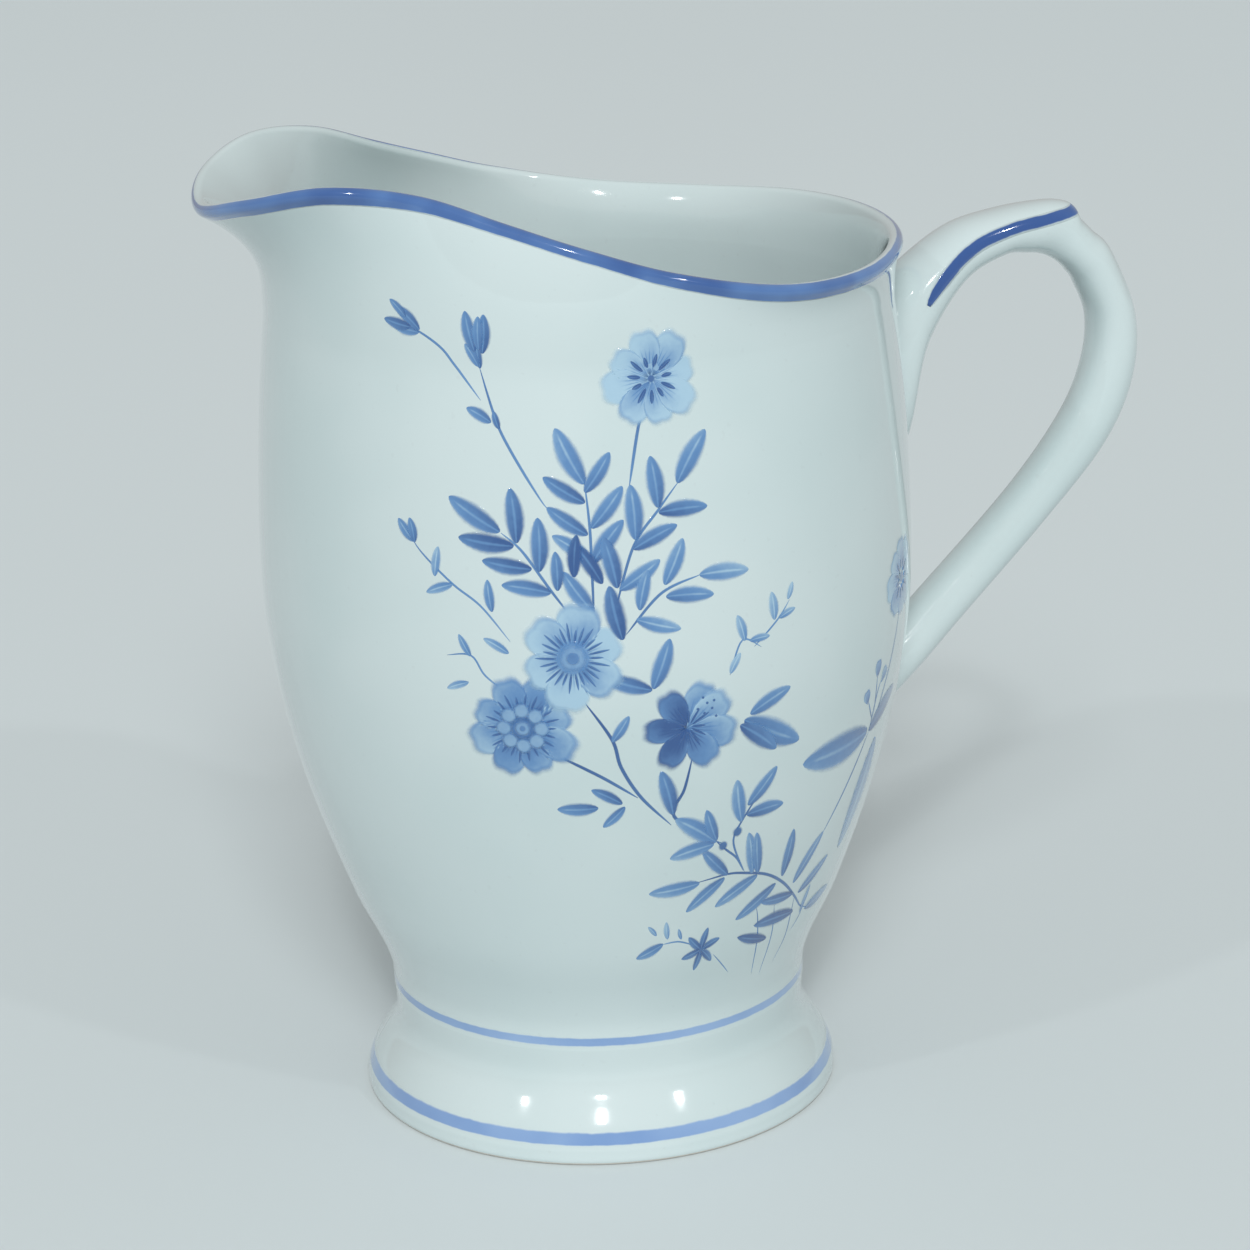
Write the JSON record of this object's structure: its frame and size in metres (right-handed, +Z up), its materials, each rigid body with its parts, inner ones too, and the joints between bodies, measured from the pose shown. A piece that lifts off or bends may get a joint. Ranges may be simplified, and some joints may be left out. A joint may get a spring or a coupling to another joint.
{
  "type": "cream jug",
  "caption": "Footed porcelain cream jug with a pinched pouring spout, a wavy lip, a looped handle with a thumb rest, and painted enamel lines.",
  "frame": {"origin": "centre of the flat ring that the jug stands on", "axes": "+Z up along the axis of the bowl and foot; the spout points along -X and the handle along +X"},
  "size_m": [0.1147, 0.0766, 0.1153],
  "materials": {
    "porcelain": "smooth clear glaze, high gloss",
    "cobalt_enamel": "brushed cobalt line fired into the glaze, high gloss",
    "pale_blue_enamel": "thin light blue line fired into the glaze, high gloss",
    "blue_print": "printed flower film fired into the glaze, high gloss"
  },
  "bodies": {
    "root": {"jug_body": "porcelain", "foot": "porcelain", "handle": "porcelain", "rim_band": "cobalt_enamel", "waist_band": "pale_blue_enamel", "foot_band": "pale_blue_enamel", "handle_stripe": "cobalt_enamel"}
  },
  "joints": []
}
